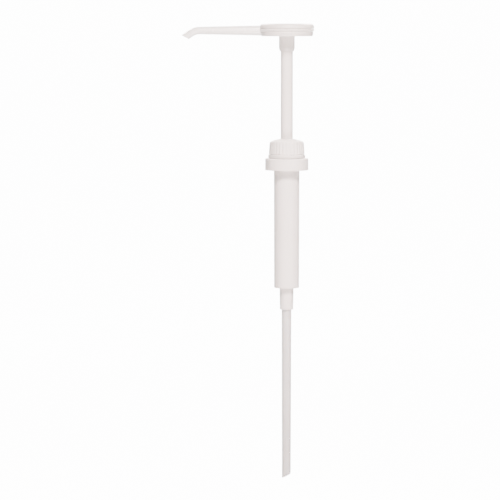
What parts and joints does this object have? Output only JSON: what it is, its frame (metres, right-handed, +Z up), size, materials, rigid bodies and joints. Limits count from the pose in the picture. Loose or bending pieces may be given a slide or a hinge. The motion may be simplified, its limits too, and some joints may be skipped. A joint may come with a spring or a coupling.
{
  "type": "condiment pump dispenser",
  "caption": "Hand pump for a condiment jug: round push head with a long bent spout, hollow stem, ribbed dome collar, screw cap, pump cylinder with spring and ball valves, slant-cut dip tube.",
  "frame": {"origin": "on the pump's axis, on the underside of the neck gasket, where the bottle's rim presses", "axes": "+Z up the stem to the push head, -X the way the spout points at rest"},
  "size_m": [0.1256, 0.0518, 0.4344],
  "materials": {
    "head_plastic": "satin",
    "spout_plastic": "satin",
    "stem_plastic": "satin",
    "collar_plastic": "satin",
    "cap_plastic": "satin",
    "cylinder_plastic": "satin",
    "tube_plastic": "milky",
    "inner_plastic": "satin",
    "seal_rubber": "matt",
    "gasket_foam": "matt",
    "ball_steel": "polished",
    "spring_steel": "drawn wire"
  },
  "bodies": {
    "pump_body": {"pump_cylinder": "cylinder_plastic", "retaining_collar": "collar_plastic", "stem_guide": "inner_plastic", "stem_wiper": "seal_rubber", "neck_gasket": "gasket_foam", "dip_tube": "tube_plastic", "inlet_ball_cage": "inner_plastic", "return_spring": "spring_steel"},
    "screw_cap": {"screw_cap": "cap_plastic"},
    "piston": {"piston": "inner_plastic", "piston_seal_upper": "seal_rubber", "piston_seal_lower": "seal_rubber", "stem_o_ring": "seal_rubber", "outlet_valve_seat": "inner_plastic", "spring_washer": "inner_plastic"},
    "push_head": {"stem": "stem_plastic", "head_shell": "head_plastic", "head_cover": "head_plastic", "spout": "spout_plastic"},
    "outlet_ball": {"outlet_ball": "ball_steel"},
    "inlet_ball": {"inlet_ball": "ball_steel"}
  },
  "joints": [
    {"name": "pump_stroke", "type": "slide", "parent": "pump_body", "child": "piston", "axis": [0, 0, -1], "range_m": [0, 0.0825], "stiffness_N_per_m": 200, "springref_m": -0.04, "deforming": ["return_spring"]},
    {"name": "head_swivel", "type": "hinge", "parent": "piston", "child": "push_head", "pos_m": [0, 0, 0.1], "axis": [0, 0, 1], "continuous": true},
    {"name": "cap_spin", "type": "hinge", "parent": "pump_body", "child": "screw_cap", "pos_m": [0, 0, 0], "axis": [0, 0, 1], "continuous": true},
    {"name": "inlet_ball_lift", "type": "slide", "parent": "pump_body", "child": "inlet_ball", "axis": [0, 0, 1], "range_m": [0, 0.003]},
    {"name": "outlet_ball_lift", "type": "slide", "parent": "piston", "child": "outlet_ball", "axis": [0, 0, 1], "range_m": [0, 0.0025]}
  ]
}
